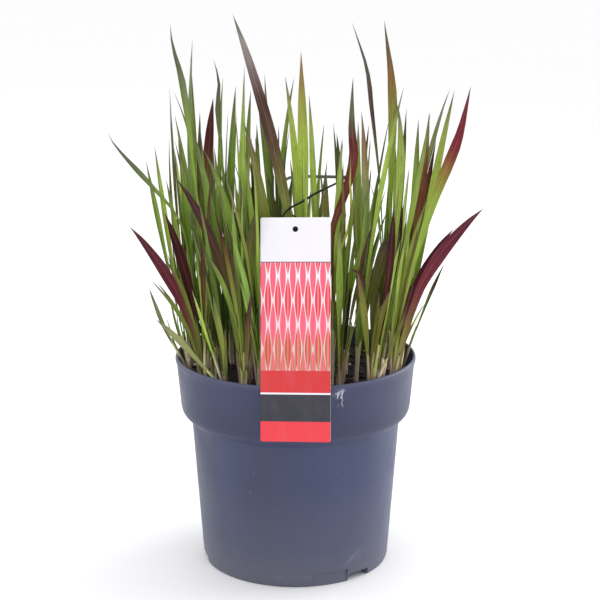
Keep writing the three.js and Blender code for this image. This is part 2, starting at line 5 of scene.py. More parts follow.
import bmesh
import bpy
from mathutils import Matrix, Vector, noise


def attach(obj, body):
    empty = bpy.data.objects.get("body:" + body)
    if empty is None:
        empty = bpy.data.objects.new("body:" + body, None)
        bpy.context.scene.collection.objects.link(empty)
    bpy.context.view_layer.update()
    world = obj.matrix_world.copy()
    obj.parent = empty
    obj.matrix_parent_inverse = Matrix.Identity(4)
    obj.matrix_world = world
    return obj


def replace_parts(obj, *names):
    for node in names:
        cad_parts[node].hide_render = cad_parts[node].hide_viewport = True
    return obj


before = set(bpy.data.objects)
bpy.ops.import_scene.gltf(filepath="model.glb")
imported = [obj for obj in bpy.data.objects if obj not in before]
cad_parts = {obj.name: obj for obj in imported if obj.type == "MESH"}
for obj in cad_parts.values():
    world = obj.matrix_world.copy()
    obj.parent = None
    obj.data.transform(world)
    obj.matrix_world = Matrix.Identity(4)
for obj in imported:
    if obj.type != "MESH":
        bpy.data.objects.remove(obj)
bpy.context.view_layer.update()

# Sizes are given in mm, and the scene is in metres.
MM = 0.001

# ---- Viewpoint ----
# The plant is seen from its tag's side, from a little above, with a long lens that takes in all of
# the clump and the pot.
viewpoint = bpy.data.cameras.new("viewpoint")
viewpoint.sensor_width = 36
viewpoint.lens = 98.9
viewpoint.shift_x = 0.0073
camera = bpy.data.objects.new("viewpoint", viewpoint)
camera.location = (0, -1.2564, 0.5264)
camera.rotation_euler = (math.radians(75.9), 0, 0)
bpy.context.collection.objects.link(camera)
bpy.context.scene.camera = camera

# ---- Pot ----
# A round nursery container, injection moulded in slate-blue plastic: a tapered body, a wide collar
# with a rolled lip, a foot ring with three drain notches and shallow panels beside them, and drain
# holes in its floor. Each corner of its outline is [radius, height, rounding].
POT_OUTLINE = [
    (64.5, 5.4, 0), (69.5, 5.4, 0.8), (70.3, 0, 0.5), (73.5, 0, 0.9), (74.4, 3, 1), (74.6, 6, 0),
    (74.95, 10, 0), (75.05, 11, 0), (82.6, 116.5, 0.8), (89, 122.3, 1.4), (90.4, 125.2, 1.2),
    (91, 128.4, 1), (94, 162.5, 1.2), (95, 164.4, 0.8), (95, 166.8, 0.9), (94.1, 168, 0.45),
    (92.9, 168, 0.5), (92.6, 164.5, 1), (89.4, 128, 1.5), (87.9, 123.7, 1.5), (81.2, 117.6, 1.5),
    (72.5, 13, 3), (70.1, 7, 0),
]
POT_COLUMNS = 360
FLOOR_UNDER, FLOOR_TOP = 5.4, 7
FLOOR_RINGS = (0, 30, *(40 + 1.5 * i for i in range(9)))
# Each third of the heel has a notch and a panel, from their first to their last degree. Columns
# beside a side wall are pulled to it.
HEEL_THIRD = 120
NOTCH = {"first": 33, "last": 50, "height": 6, "radius": 64.4, "pull": 0.6}
PANEL = {"first": 10, "last": 33, "height": 10.01, "radius": 73.3, "pull": 0.8}
DRAIN = {"count": 6, "radius": 5, "ring": 46}
# Soft dents and creases at the heel, each also painted lighter as a painted highlight: middle, size
# and turn of each, and how light its painted highlight is.
POT_MARKS = [
    ((44, -61.3, 20), (11.5, 8, 2.2), (0, -38, 35), 0.34),
    ((48.5, -58.5, 20), (8, 8, 5), (0, -38, 38), 0.14),
    ((-54.6, -51.3, 10), (5, 6, 1.3), (0, 24, -46), 0.2),
    ((-13.6, -73.5, 8), (6, 6, 2), (0, 4, -10), 0.16),
    ((12, -74.3, 8.5), (16, 6, 1.6), (0, 0, 10), 0.14),
]
SCUFF = {"middle": (33.5, -88.5, 157.5), "size": (7.5, 7.5, 8.5)}


def rounded(corners, steps=4):
    """The outline through the corners, with an arc in place of each corner that has a rounding."""
    line = []
    for i, (radius, height, rounding) in enumerate(corners):
        here = Vector((radius, height))
        if not rounding:
            line.append(here)
            continue
        before = (Vector(corners[i - 1][:2]) - here).normalized()
        after = (Vector(corners[i + 1][:2]) - here).normalized()
        start, end = here + before * rounding, here + after * rounding
        for part in range(steps + 1):
            t = part / steps
            line.append(start * (1 - t) ** 2 + here * 2 * t * (1 - t) + end * t * t)
    return line


def turned(outline, columns):
    """A closed round body: its outline in mm, turned once round Z from the tag's side."""
    body = bmesh.new()
    for radius, height in map(Vector, outline):
        body.verts.new((0, -radius * MM, height * MM))
    body.verts.ensure_lookup_table()
    for first, second in zip(body.verts[:], body.verts[1:]):
        body.edges.new((first, second))
    bmesh.ops.spin(body, geom=body.verts[:] + body.edges[:], cent=(0, 0, 0), axis=(0, 0, 1),
                   dvec=(0, 0, 0), angle=2 * math.pi, steps=columns, use_merge=True)
    bmesh.ops.remove_doubles(body, verts=body.verts, dist=1e-6)
    bmesh.ops.recalc_face_normals(body, faces=body.faces)
    return body


def open_hole(body, middle, radius, levels):
    """Cuts a round hole through a floor that lies between two levels, and gives it a wall."""
    rims = []
    for level in levels:
        inside = [f for f in body.faces
                  if abs(f.calc_center_median().z - level) < 2e-4
                  and (f.calc_center_median().xy - middle).length < radius]
        rim = {e for f in inside for e in f.edges if sum(g in inside for g in e.link_faces) == 1}
        bmesh.ops.delete(body, geom=inside, context="FACES")
        for vert in {v for e in rim for v in e.verts}:
            vert.co.xy = middle + (vert.co.xy - middle).normalized() * radius
        rims += list(rim)
    bmesh.ops.bridge_loops(body, edges=rims)


def recessed(recess, column):
    """Whether a recess takes in this column of the heel, and by how many degrees it is pulled."""
    nearest = min((recess["first"], recess["last"]), key=lambda edge: abs(edge - column))
    pull = (column - nearest) * recess["pull"] if abs(column - nearest) < 1.5 else 0
    return recess["first"] + 0.5 < column < recess["last"] - 0.5, pull


def as_piece(name, body, *finishes):
    """The finished mesh as an object at the origin, with smooth faces and its materials."""
    mesh = bpy.data.meshes.new(name)
    body.to_mesh(mesh)
    body.free()
    mesh.shade_smooth()
    piece = bpy.data.objects.new(name, mesh)
    bpy.context.collection.objects.link(piece)
    for finish in finishes:
        mesh.materials.append(finish)
    return piece


def sharpen(body, degrees):
    """Keeps the edges that turn by more than this many degrees crisp in smooth shading."""
    for edge in body.edges:
        edge.smooth = edge.is_manifold and edge.calc_face_angle(0) < math.radians(degrees)


def paint(red, green, blue):
    """A paint chip's 0-255 values as the light it gives back."""
    chip = (red, green, blue)
    return (*(((c / 255 + 0.055) / 1.055) ** 2.4 if c > 10 else c / 3295 for c in chip), 1)


def new_finish(name, roughness):
    """A new material, with its shader at this roughness."""
    finish = bpy.data.materials.new(name)
    finish.use_nodes = True
    shader = finish.node_tree.nodes["Principled BSDF"]
    shader.inputs["Roughness"].default_value = roughness
    return finish, finish.node_tree, shader


def feed(made, inputs):
    """Gives a shader step its inputs: each is a value or another step's output."""
    for key, value in inputs.items():
        if isinstance(value, bpy.types.NodeSocket):
            made.id_data.links.new(value, made.inputs[key])
        else:
            made.inputs[key].default_value = value


def step(tree, kind, inputs, **settings):
    """A new shader step of this kind."""
    made = tree.nodes.new("ShaderNode" + kind)
    for key, value in settings.items():
        setattr(made, key, value)
    feed(made, inputs)
    return made


def spot_on(tree):
    """The place on the object, in metres from its origin."""
    return step(tree, "TexCoord", {}).outputs["Object"]


def maths(tree, operation, *values):
    """The result of a sum or comparison."""
    return step(tree, "Math", dict(enumerate(values)), operation=operation).outputs[0]


def mixed(tree, share, first, second, mode="MIX"):
    """A colour between two others."""
    inputs = {0: share, 6: first, 7: second}
    return step(tree, "Mix", inputs, data_type="RGBA", blend_type=mode).outputs[2]


def graded(tree, value, *stops, sharp=False):
    """A ramp: each stop is a place from 0 to 1 and a colour or a grey level."""
    ramp = step(tree, "ValToRGB", {0: value})
    ramp.color_ramp.interpolation = "CONSTANT" if sharp else "LINEAR"
    elements = ramp.color_ramp.elements
    while len(elements) < len(stops):
        elements.new(0.5)
    for element, (place, _) in zip(elements, stops):
        element.position = place
    for element, (_, colour) in zip(elements, stops):
        element.color = colour if isinstance(colour, tuple) else (colour, colour, colour, 1)
    return ramp.outputs[0]


def speckle(tree, place, scale, detail=3.0, roughness=0.5, stretch=(1, 1, 1)):
    """Cloudy noise, finer at a greater scale and drawn out where stretch is small."""
    laid = step(tree, "Mapping", {"Vector": place, "Scale": stretch}).outputs[0]
    inputs = {"Vector": laid, "Scale": scale, "Detail": detail, "Roughness": roughness}
    return step(tree, "TexNoise", inputs).outputs[0]


def far_from(tree, place, middle, size, turn=(0, 0, 0)):
    """How far a place is from the middle of a turned egg shape: 1 at its surface."""
    inputs = {"Vector": place, "Location": Vector(middle) * MM, "Scale": Vector(size) * MM,
              "Rotation": [math.radians(t) for t in turn]}
    laid = step(tree, "Mapping", inputs, vector_type="TEXTURE").outputs[0]
    return step(tree, "VectorMath", {0: laid}, operation="LENGTH").outputs[1]


def relief(tree, shader, height, strength, distance):
    """Fine relief under a shader."""
    bump = step(tree, "Bump", {"Height": height, "Strength": strength, "Distance": distance})
    feed(shader, {"Normal": bump.outputs[0]})


underside = [(r, FLOOR_UNDER) for r in FLOOR_RINGS]
floor_inside = [(r, FLOOR_TOP) for r in reversed(FLOOR_RINGS)]
container = turned(underside + rounded(POT_OUTLINE) + floor_inside, POT_COLUMNS)
for vert in container.verts:
    radius, height = vert.co.xy.length / MM, vert.co.z / MM
    turn = math.degrees(math.atan2(vert.co.x, -vert.co.y)) % 360
    in_panel, panel_pull = recessed(PANEL, turn % HEEL_THIRD)
    in_notch, notch_pull = recessed(NOTCH, turn % HEEL_THIRD)
    if in_panel and height < PANEL["height"]:
        radius = min(radius, PANEL["radius"] - 0.2 * (height < 1))
        turn -= panel_pull
    if in_notch and radius > NOTCH["radius"]:
        height = max(height, NOTCH["height"])
        turn -= notch_pull
    turn = math.radians(turn)
    vert.co = Vector((radius * math.sin(turn), -radius * math.cos(turn), height)) * MM
bmesh.ops.remove_doubles(container, verts=container.verts, dist=2e-5)
for i in range(DRAIN["count"]):
    turn = 2 * math.pi * i / DRAIN["count"]
    middle = Vector((math.cos(turn), math.sin(turn))) * DRAIN["ring"] * MM
    open_hole(container, middle, DRAIN["radius"] * MM, (FLOOR_UNDER * MM, FLOOR_TOP * MM))
bmesh.ops.recalc_face_normals(container, faces=container.faces)
sharpen(container, 38)

slate_plastic, tree, shader = new_finish("slate_plastic", 0.46)
place = spot_on(tree)
height = step(tree, "SeparateXYZ", {0: place}).outputs[2]
cloudy = speckle(tree, place, 14, 3, stretch=(1, 1, 0.3))
bluer = graded(tree, cloudy, (0.35, 0), (0.68, 1))
colour = mixed(tree, bluer, paint(57, 63, 88), paint(63, 69, 102))
# The colour turns paler and greyer towards the foot.
paler_foot = graded(tree, height, (0, 0.7), (0.03, 0.3), (0.085, 0))
# Painted shade: the collar is darkened as if less light falls on it than on the body.
painted_collar_shade = graded(tree, height, (0.118, 0), (0.126, 0.8), (0.15, 0.5))
# Painted highlight: a lighter line along the top of the rolled lip.
painted_lip_highlight = graded(tree, height, (0.1655, 0), (0.1685, 0.3))
flecks = graded(tree, speckle(tree, place, 420, 1), (0.79, 0), (0.81, 0.4))
from_scuff = far_from(tree, place, SCUFF["middle"], SCUFF["size"])
scuff_zone = graded(tree, from_scuff, (0.5, 1), (1, 0))
scratches = speckle(tree, place, 330, 4, 0.6, (1, 1, 0.42))
scuffs = maths(tree, "MULTIPLY", scuff_zone, graded(tree, scratches, (0.52, 0), (0.6, 0.85)))
# The dents and creases are pressed into the relief, and each is also painted lighter as a painted
# highlight.
dents_and_highlights = 0.0
for middle, size, turn, strength in POT_MARKS:
    dent_and_highlight = graded(tree, far_from(tree, place, middle, size, turn), (0.1, strength), (1, 0))
    dents_and_highlights = maths(tree, "MAXIMUM", dents_and_highlights, dent_and_highlight)
for share, chip in ((paler_foot, (102, 102, 114)), (painted_collar_shade, (48, 53, 80)),
                    (painted_lip_highlight, (116, 120, 142)), (flecks, (142, 146, 160)),
                    (scuffs, (206, 210, 224)), (dents_and_highlights, (128, 132, 152))):
    colour = mixed(tree, share, colour, paint(*chip))
dullness = graded(tree, speckle(tree, place, 40, 4), (0.3, 0.4), (0.7, 0.52))
feed(shader, {"Base Color": colour, "Specular IOR Level": 0.36, "Roughness": dullness})
grain = speckle(tree, place, 1500, 2)
scratched = maths(tree, "MULTIPLY", scratches, scuff_zone)
worn = maths(tree, "ADD", scratched, maths(tree, "MULTIPLY", dents_and_highlights, -6.0))
relief(tree, shader, maths(tree, "ADD", grain, worn), 0.12, 0.0002)

pot = as_piece("nursery_pot", container, slate_plastic)
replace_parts(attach(pot, "root"), "pot")

# ---- Soil ----
# Dark, damp, peaty potting soil filled to just under the collar's lip, with loose crumbs, chips of
# bark, bits of pale straw and a few white grains on top.
SOIL_SIDE = [
    (0, 7.3), (69.8, 7.3), (72.2, 13.3), (80.9, 117.9), (87.6, 124), (89.1, 128.3), (91.2, 152),
    (90.6, 153.2),
]
SOIL_LEVEL = 154
SOIL_COLUMNS = 200
CRUMBS = {"count": 620, "size": (0.5, 1.9), "reach": 89}
random.seed(41)


def soil_height(x, y):
    """How far the crumbly surface stands above the soil's level, in mm."""
    broad = math.sin(x / 9 + 1.3) * math.cos(y / 11 - 0.4)
    small = math.sin((x + 2 * y) / 6.1) * math.cos((2 * x - y) / 7.3)
    fine = noise.noise(Vector((x, y, 3)) / 3.1) * 0.9 + noise.noise(Vector((x, y, 8)) / 1.4) * 0.5
    return 0.9 * (0.6 * broad + 0.5 * small) + fine


soil_top = [(90 - 1.5 * i, SOIL_LEVEL) for i in range(61)]
fill = turned(SOIL_SIDE + soil_top, SOIL_COLUMNS)
shade = fill.verts.layers.float.new("shade")
for vert in fill.verts:
    if vert.co.z > (SOIL_LEVEL - 0.1) * MM:
        vert.co.z += soil_height(vert.co.x / MM, vert.co.y / MM) * MM
    vert[shade] = 0.2 + 0.2 * noise.noise(vert.co * 160)
for i in range(CRUMBS["count"]):
    reach = CRUMBS["reach"] * math.sqrt(random.random())
    turn = random.uniform(0, 2 * math.pi)
    x, y = reach * math.cos(turn), reach * math.sin(turn)
    size = random.uniform(*CRUMBS["size"]) * random.uniform(0.7, 1.2)
    kind = random.random()
    fineness = 1 if size < 1 else 2
    crumb = bmesh.ops.create_icosphere(fill, subdivisions=fineness, radius=size * MM)["verts"]
    spread = (1, 1, 0.75)
    tone = random.uniform(0, 0.35)
    if kind > 0.9:  # a bit of straw
        spread, tone = (2.6, 0.45, 0.3), random.uniform(0.55, 0.78)
    elif kind > 0.72:  # a chip of bark
        spread, tone = (1.9, 0.9, 0.35), random.uniform(0.3, 0.55)
    elif kind > 0.69:  # a white grain
        spread, tone = (1, 0.9, 0.8), 0.92
    for vert in crumb:
        rough = 1 + 0.5 * noise.noise(vert.co * 900 + Vector((i, 0, 0)))
        vert.co = Vector(a * b for a, b in zip(vert.co * rough, spread))
        vert[shade] = tone
    spun = Matrix.Rotation(random.uniform(0, 6.3), 4, "Z")
    tipped = Matrix.Rotation(random.gauss(0, 0.35), 4, "Y")
    rest = Vector((x, y, SOIL_LEVEL + soil_height(x, y) + size * spread[2] * 0.4)) * MM
    bmesh.ops.transform(fill, verts=crumb, matrix=Matrix.Translation(rest) @ (spun @ tipped))

peat, tree, shader = new_finish("damp_peat", 0.9)
place = spot_on(tree)
bits = step(tree, "Attribute", {}, attribute_name="shade").outputs["Fac"]
tone = maths(tree, "ADD", bits, maths(tree, "MULTIPLY", speckle(tree, place, 700, 4), 0.24))
colour = graded(tree, tone, (0.12, paint(15, 12, 11)), (0.45, paint(33, 25, 21)),
                (0.68, paint(66, 49, 38)), (0.9, paint(142, 120, 98)), (1, paint(206, 200, 190)))
feed(shader, {"Base Color": colour, "Specular IOR Level": 0.3})
relief(tree, shader, speckle(tree, place, 1100, 5, 0.65), 0.6, 0.0006)

soil = as_piece("soil_bed", fill, peat)
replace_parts(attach(soil, "root"), "soil")

# ---- Hang tag ----
# One sheet of glossy printed plastic with rounded corners, punched near its top. Its print is plain
# colour bands and, in the tall panel, a lattice of pointed leaves in pinks over straw.
TAG = {"width": 52, "height": 165, "thickness": 0.7, "corner": 1, "lean": 13.2, "yaw": 8,
       "foot": 129.6, "hole": 1.8, "hole_drop": 8.6, "gap": 0.3}
# Where the tag leans on the pot's lip, as radius and height.
LIP = (95, 166.8)
# The print's bands, each with the height where it starts, and the panel of leaves above them.
BANDS = [(0, (232, 52, 66)), (14.5, (38, 38, 52)), (34.6, (244, 241, 248)), (36, (210, 38, 42))]
LEAF_PANEL = {"foot": 52.4, "top": 132, "columns": 7.0, "rows": 4.6}
tag_yaw = math.radians(TAG["yaw"])
tag_lean = math.radians(90 - TAG["lean"])
tag_turn = Matrix.Rotation(tag_lean, 3, "X") @ Matrix.Rotation(-tag_yaw, 3, "Y")
tag_right, tag_up, tag_out = tag_turn.col
rim_touch = Vector((0, -LIP[0] / math.cos(tag_yaw), LIP[1])) + tag_out * TAG["gap"]
tag_foot = rim_touch + tag_up * ((TAG["foot"] - rim_touch.z) / tag_up.z)


def on_tag(x, y, depth):
    """A point of the tag: across from its middle, up from its foot and out from its back."""
    return (tag_foot + tag_right * x + tag_up * y + tag_out * depth) * MM


sheet = bmesh.new()
bmesh.ops.create_grid(sheet, x_segments=TAG["width"], y_segments=132, size=0.5)
half_width, half_height, corner = TAG["width"] / 2, TAG["height"] / 2, TAG["corner"]
hole_middle = Vector((0, half_height - TAG["hole_drop"]))
for vert in sheet.verts:
    x, y = vert.co.x * TAG["width"], vert.co.y * TAG["height"]
    past = Vector((abs(x) - half_width + corner, abs(y) - half_height + corner))
    if min(past) > 0:
        past *= max(past) / past.length
        x = math.copysign(half_width - corner + past.x, x)
        y = math.copysign(half_height - corner + past.y, y)
    vert.co = (x, y, 0)
punched = [f for f in sheet.faces if (f.calc_center_median().xy - hole_middle).length < TAG["hole"]]
bmesh.ops.delete(sheet, geom=punched, context="FACES")
for vert in sheet.verts:
    from_hole = vert.co.xy - hole_middle
    if vert.is_boundary and from_hole.length < 2 * TAG["hole"]:
        vert.co.xy = hole_middle + from_hole.normalized() * TAG["hole"]
bmesh.ops.recalc_face_normals(sheet, faces=sheet.faces)
for face in sheet.faces:
    if face.normal.z < 0:
        face.normal_flip()
bmesh.ops.solidify(sheet, geom=sheet.faces[:], thickness=TAG["thickness"])
bmesh.ops.recalc_face_normals(sheet, faces=sheet.faces)
highest = max(v.co.z for v in sheet.verts)
printed = sheet.loops.layers.uv.new("print")
for face in sheet.faces:
    face.material_index = 0 if face.normal.z > 0.5 else 1
    for loop in face.loops:
        corner_at = loop.vert.co
        loop[printed].uv = (corner_at.x / TAG["width"] + 0.5, corner_at.y / TAG["height"] + 0.5)
sharpen(sheet, 40)
for vert in sheet.verts:
    x, y, depth = vert.co.x, vert.co.y + half_height, vert.co.z - highest + TAG["thickness"]
    bow = 0.25 * math.cos(math.pi * x / TAG["width"]) + 0.2 * math.sin(y / 19)
    vert.co = on_tag(x, y, depth + bow * min(1, y / 60))

tag_print, tree, shader = new_finish("glossy_print", 0.24)
uv = step(tree, "UVMap", {}, uv_map="print").outputs[0]
across, up, _ = step(tree, "SeparateXYZ", {0: uv}).outputs
pink, coral, straw = paint(244, 92, 122), paint(232, 52, 72), paint(178, 130, 84)


def leaf_row(shift_x, shift_y, width):
    """A lattice of pointed leaves: how far inside one a place is, and how far from its vein."""
    columns, rows = LEAF_PANEL["columns"], LEAF_PANEL["rows"]
    column = maths(tree, "FRACT", maths(tree, "MULTIPLY_ADD", across, columns, shift_x))
    row = maths(tree, "FRACT", maths(tree, "MULTIPLY_ADD", up, rows, shift_y))
    side = maths(tree, "ABSOLUTE", maths(tree, "SUBTRACT", column, 0.5))
    swell = maths(tree, "SINE", maths(tree, "MULTIPLY", row, math.pi))
    half = maths(tree, "MULTIPLY", swell, width)
    return maths(tree, "SUBTRACT", half, side), side


rosy = graded(tree, up, (0.34, 1), (0.7, 0))
ground = mixed(tree, rosy, paint(244, 238, 246), paint(236, 188, 190))
behind, _ = leaf_row(0.25, 0.1, 0.3)
colour = mixed(tree, graded(tree, behind, (0, 0), (0.015, 1)), ground, pink)
fronts, vein = leaf_row(0.75, 0.6, 0.33)
leaf_colour = mixed(tree, graded(tree, up, (0.36, 1), (0.62, 0)), coral, paint(214, 60, 52))
vein_line = graded(tree, vein, (0.018, 1), (0.03, 0))
leaf_colour = mixed(tree, vein_line, leaf_colour, paint(252, 196, 200))
colour = mixed(tree, graded(tree, fronts, (0, 0), (0.015, 1)), colour, leaf_colour)
stem_rows = maths(tree, "PINGPONG", maths(tree, "MULTIPLY", across, 18.0), 0.5)
stems = maths(tree, "MULTIPLY", graded(tree, up, (0.32, 1), (0.43, 0.75), (0.5, 0)),
              graded(tree, stem_rows, (0.16, 1), (0.24, 0)))
colour = mixed(tree, stems, colour, straw)
bands = graded(tree, up, *((h / TAG["height"], paint(*chip)) for h, chip in BANDS), sharp=True)
below = maths(tree, "LESS_THAN", up, LEAF_PANEL["foot"] / TAG["height"])
colour = mixed(tree, below, colour, bands)
above = maths(tree, "GREATER_THAN", up, LEAF_PANEL["top"] / TAG["height"])
colour = mixed(tree, above, colour, paint(239, 236, 245))
rule = maths(tree, "COMPARE", up, (LEAF_PANEL["top"] + 0.2) / TAG["height"], 0.0021)
colour = mixed(tree, rule, colour, paint(120, 96, 110))
dulled = graded(tree, speckle(tree, uv, 5, 3), (0.45, 0), (0.75, 0.06))
colour = mixed(tree, dulled, colour, paint(180, 170, 190))
feed(shader, {"Base Color": colour, "Coat Weight": 0.12, "Coat Roughness": 0.12})
place = spot_on(tree)
relief(tree, shader, speckle(tree, place, 60, 2), 0.08, 0.0006)

tag_stock, tree, shader = new_finish("white_stock", 0.42)
place = spot_on(tree)
fibres = speckle(tree, place, 260, 4)
colour = mixed(tree, fibres, paint(232, 230, 234), paint(246, 244, 247))
feed(shader, {"Base Color": colour})
relief(tree, shader, fibres, 0.06, 0.0002)

hang_tag = as_piece("hang_tag", sheet, tag_print, tag_stock)
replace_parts(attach(hang_tag, "root"), "tag")

# ---- Tag strap ----
# One flat strap of black plastic, moulded with a button that snaps through the tag's hole. It runs
# up in front of the middle shoots, round them, and comes back behind the front blades. Each stop of
# its way is a point and its lay: 0 flat, 90 on its edge.
STRAP_WAY = [
    (-10, -63.8, 283.5, 60), (-10, -62.2, 289, 20), (-4.5, -60.5, 295.5, 0), (4, -56.5, 299.5, 0),
    (15, -47, 304.5, 0), (30, -34, 309.5, 10), (37.5, -25, 312, 40), (43, -12, 311, 80),
    (38, -2, 309, 90), (20, -0.5, 309, 90), (0, -1, 309, 90), (-7, -6, 308, 85),
    (-9, -18, 304, 75), (-8, -33, 297, 60), (-3, -48, 289, 40), (5, -57, 285, 20),
    (4, -63, 283.5, 20),
]
STRAP = {"width": 2.4, "thickness": 1.15, "steps": 260, "sides": 12, "squareness": 0.45}
# The button's outline from back to face, as radius and height.
BUTTON = [
    (0, 0), (3, 0), (3, 0.7), (2.7, 1), (1.5, 1), (1.5, 2), (2.1, 2), (2.25, 2.3), (1.7, 2.75),
    (0.8, 2.95), (0, 3),
]
BUTTON_COLUMNS = 28


def smooth_at(stops, place):
    """A point of the smooth line through the stops. Place 1.5 is midway from stop 1 to stop 2."""
    last = len(stops) - 1
    i = min(int(place), last - 1)
    here, there = stops[i], stops[i + 1]
    before = stops[i - 1] if i else here * 2 - there
    after = stops[i + 2] if i + 2 <= last else there * 2 - here
    spans = ((before, here), (here, there), (there, after))
    first, mid, final = (max((b - a).length, 1e-7) ** 0.5 for a, b in spans)
    on = (there - here) / mid
    leave = ((here - before) / first - (there - before) / (first + mid) + on) * mid
    reach = (on - (after - here) / (mid + final) + (after - there) / final) * mid
    t = place - i
    return (here * (2 * t ** 3 - 3 * t * t + 1) + leave * (t ** 3 - 2 * t * t + t)
            + there * (3 * t * t - 2 * t ** 3) + reach * (t ** 3 - t * t))


def ahead_at(stops, place, reach=0.02):
    """The direction of the smooth line at this place."""
    before, after = max(place - reach, 0), min(place + reach, len(stops) - 1)
    return (smooth_at(stops, after) - smooth_at(stops, before)).normalized()


def along(shares, values, share):
    """A value between the given ones, by the share of the length."""
    for (low, first), (high, second) in zip(zip(shares, values), zip(shares[1:], values[1:])):
        if share <= high:
            return first + (second - first) * (share - low) / (high - low)
    return values[-1]


def rolled(body, columns, rows):
    """A new grid's corners, to be rolled up: each with its angle and its share of the way."""
    for vert in bmesh.ops.create_grid(body, x_segments=columns, y_segments=rows, size=1)["verts"]:
        yield vert, vert.co.x * math.pi, (vert.co.y + 1) / 2


hole_height = TAG["height"] - TAG["hole_drop"]
button_back = on_tag(0, hole_height, -0.8)
stops = [button_back] + [Vector(stop[:3]) * MM for stop in STRAP_WAY] + [button_back]
lays = [90] + [stop[3] for stop in STRAP_WAY] + [45]
band = bmesh.new()
for vert, angle, share in rolled(band, STRAP["sides"], STRAP["steps"]):
    place = share * (len(stops) - 1)
    lay = math.radians(along(range(len(lays)), lays, place))
    point = smooth_at(stops, place)
    ahead = ahead_at(stops, place, 0.01)
    side = ahead.cross(Vector((0, 0, 1))).normalized()
    above = side.cross(ahead)
    wide = side * math.cos(lay) + above * math.sin(lay)
    thin = above * math.cos(lay) - side * math.sin(lay)
    bulge = [math.copysign(abs(c) ** STRAP["squareness"], c)
             for c in (math.cos(angle), math.sin(angle))]
    vert.co = (point + wide * bulge[0] * STRAP["width"] / 2 * MM
               + thin * bulge[1] * STRAP["thickness"] / 2 * MM)
bmesh.ops.remove_doubles(band, verts=band.verts, dist=1e-6)
bmesh.ops.holes_fill(band, edges=[e for e in band.edges if e.is_boundary], sides=0)
button = turned(BUTTON, BUTTON_COLUMNS)
for vert in button.verts:
    x, y, depth = vert.co / MM
    vert.co = on_tag(x, hole_height + y, depth - 1.3)
button_mesh = bpy.data.meshes.new("button")
button.to_mesh(button_mesh)
button.free()
band.from_mesh(button_mesh)
bpy.data.meshes.remove(button_mesh)
bmesh.ops.recalc_face_normals(band, faces=band.faces)
sharpen(band, 50)

black_plastic, tree, shader = new_finish("black_strap_plastic", 0.42)
place = spot_on(tree)
worn = speckle(tree, place, 240, 4)
depth = step(tree, "SeparateXYZ", {0: place}).outputs[1]
# Painted reflection: the strap's rear strand is painted lighter grey than its black front.
rearward = maths(tree, "MULTIPLY_ADD", depth, 20, 1)
painted_back_reflection = graded(tree, rearward, (0.5, 0), (0.8, 1))
colour = mixed(tree, painted_back_reflection, paint(14, 14, 14), paint(104, 110, 98))
colour = mixed(tree, graded(tree, worn, (0.45, 0), (0.8, 0.12)), colour, paint(120, 120, 112))
dullness = graded(tree, worn, (0.3, 0.45), (0.7, 0.65))
feed(shader, {"Base Color": colour, "Specular IOR Level": 0.12, "Roughness": dullness})
relief(tree, shader, speckle(tree, place, 1800, 2), 0.15, 0.0002)

strap = as_piece("tag_strap", band, black_plastic)
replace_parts(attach(strap, "root"), "tag_loop")

